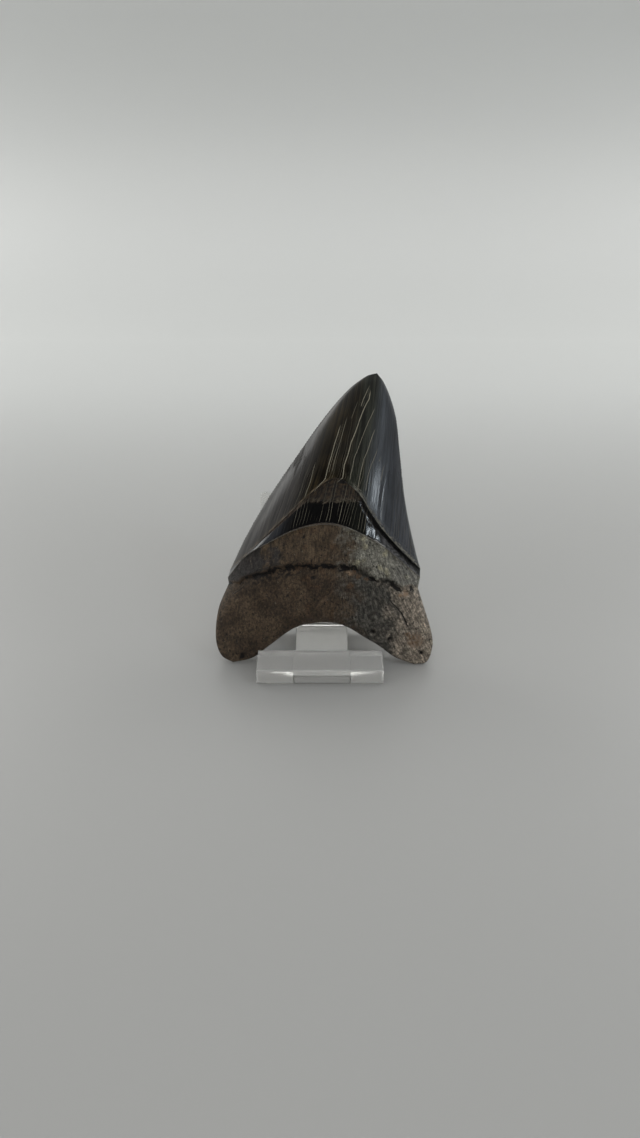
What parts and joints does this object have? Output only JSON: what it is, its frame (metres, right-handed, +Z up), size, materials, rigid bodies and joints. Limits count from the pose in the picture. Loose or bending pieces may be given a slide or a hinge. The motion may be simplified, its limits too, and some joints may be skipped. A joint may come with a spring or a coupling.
{
  "type": "fossil shark tooth on a display stand",
  "caption": "Fossil megalodon tooth with a serrated crown and a forked root, leaning on a clear acrylic stand made of a base bar, a front block and a back plate",
  "frame": {"origin": "on the surface that the stand rests on, under the middle of the base bar's length and the middle of the front block's width", "axes": "+Z up, -Y towards the viewer and the tooth's convex face, +X to the viewer's right"},
  "size_m": [0.0899, 0.078, 0.1055],
  "materials": {
    "fossil": "glossy charcoal enamel with pale hairline cracks, over a matt brown pitted root",
    "acrylic": "clear, polished and see-through"
  },
  "bodies": {
    "root": {"tooth": "fossil", "front_block": "acrylic", "base_bar": "acrylic", "back_plate": "acrylic"}
  },
  "joints": []
}
